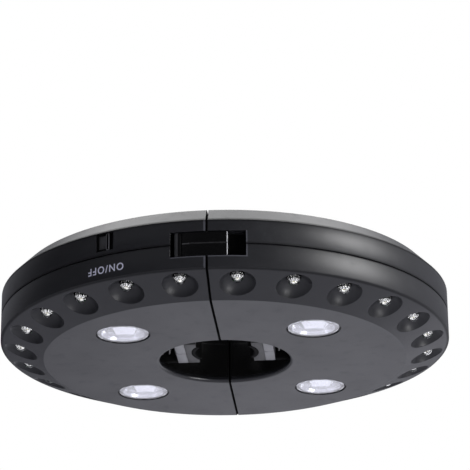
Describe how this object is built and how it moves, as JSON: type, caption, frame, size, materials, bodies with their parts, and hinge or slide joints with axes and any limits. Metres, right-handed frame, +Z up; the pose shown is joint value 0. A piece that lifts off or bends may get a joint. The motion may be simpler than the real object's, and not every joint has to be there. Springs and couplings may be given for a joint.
{
  "type": "patio umbrella light",
  "caption": "Round clamp-on umbrella pole light: a split disc with a side latch, a ring of small LEDs, large round lenses, sprung pole jaws, a slide switch, battery doors and fold-flat hooks.",
  "frame": {"origin": "on the pole's axis, at the level of the flat lamp face underneath", "axes": "+Z up along the pole as the light hangs in use, -Y to the latch, +Y to the hinge, the halves meet on x = 0 with the switch on the -X half"},
  "size_m": [0.2, 0.1999, 0.036],
  "materials": {
    "shell": "satin black moulded plastic",
    "gloss_black": "glossy black moulded plastic",
    "grey_plastic": "satin mid-grey plastic",
    "rubber": "matt black rubber",
    "led_resin": "water-clear resin",
    "lens": "clear moulded lens",
    "reflector": "bright metallised",
    "phosphor": "yellow phosphor",
    "board": "green solder mask",
    "cell": "printed foil sleeve",
    "steel": "bright zinc-plated steel",
    "wire": "red PVC sleeve"
  },
  "bodies": {
    "left_half": {"lower_shell_left": "shell", "upper_shell_left": "shell", "led_board_left": "board", "leds_left": "led_resin", "lenses_left": "lens", "reflectors_left": "reflector", "emitters_left": "phosphor", "emitter_boards_left": "board", "cells_left": "cell", "contact_plates_left": "steel", "contact_springs_left": "steel", "jaw_guide_left": "gloss_black", "jaw_springs_left": "steel", "case_screws_left": "steel", "hinge_leaf_left": "steel", "hook_pin_left": "steel", "hinge_pin": "steel", "link_wires": "wire", "latch_pin": "steel", "switch_body": "gloss_black"},
    "right_half": {"lower_shell_right": "shell", "upper_shell_right": "shell", "led_board_right": "board", "leds_right": "led_resin", "lenses_right": "lens", "reflectors_right": "reflector", "emitters_right": "phosphor", "emitter_boards_right": "board", "cells_right": "cell", "contact_plates_right": "steel", "contact_springs_right": "steel", "jaw_guide_right": "gloss_black", "jaw_springs_right": "steel", "case_screws_right": "steel", "hinge_leaf_right": "steel", "hook_pin_right": "steel"},
    "latch": {"latch_clasp": "gloss_black"},
    "switch": {"switch_knob": "gloss_black"},
    "jaw_left": {"jaw_slider_left": "grey_plastic", "jaw_face_left": "gloss_black", "grip_pad_left": "rubber"},
    "jaw_right": {"jaw_slider_right": "grey_plastic", "jaw_face_right": "gloss_black", "grip_pad_right": "rubber"},
    "door_left": {"battery_door_left": "shell"},
    "door_right": {"battery_door_right": "shell"},
    "hook_left": {"hook_left": "shell"},
    "hook_right": {"hook_right": "shell"}
  },
  "joints": [
    {"name": "clamshell_hinge", "type": "hinge", "parent": "left_half", "child": "right_half", "pos_m": [0, 0.0955, 0.018], "axis": [0, 0, 1], "range_deg": [0, 60], "deforming": ["link_wires"]},
    {"name": "latch_swing", "type": "hinge", "parent": "left_half", "child": "latch", "pos_m": [-0.01171, -0.0971, 0.0181], "axis": [0, 0, -1], "range_deg": [0, 100]},
    {"name": "switch_slide", "type": "slide", "parent": "left_half", "child": "switch", "axis": [0.9018, -0.4321, 0], "range_m": [0, 0.002]},
    {"name": "jaw_left_slide", "type": "slide", "parent": "left_half", "child": "jaw_left", "axis": [-1, 0, 0], "range_m": [0, 0.01], "stiffness_N_per_m": 600, "springref_m": -0.008, "deforming": ["jaw_springs_left"]},
    {"name": "jaw_right_slide", "type": "slide", "parent": "right_half", "child": "jaw_right", "axis": [1, 0, 0], "range_m": [0, 0.01], "stiffness_N_per_m": 600, "springref_m": -0.008, "deforming": ["jaw_springs_right"]},
    {"name": "battery_door_left_hinge", "type": "hinge", "parent": "left_half", "child": "door_left", "pos_m": [-0.07585, 0, 0.03495], "axis": [0, -1, 0], "range_deg": [0, 95]},
    {"name": "battery_door_right_hinge", "type": "hinge", "parent": "right_half", "child": "door_right", "pos_m": [0.07585, 0, 0.03495], "axis": [0, 1, 0], "range_deg": [0, 95]},
    {"name": "hook_left_fold", "type": "hinge", "parent": "left_half", "child": "hook_left", "pos_m": [-0.018, -0.064, 0.0342], "axis": [1, 0, 0], "range_deg": [0, 110]},
    {"name": "hook_right_fold", "type": "hinge", "parent": "right_half", "child": "hook_right", "pos_m": [0.018, 0.064, 0.0342], "axis": [-1, 0, 0], "range_deg": [0, 110]}
  ]
}
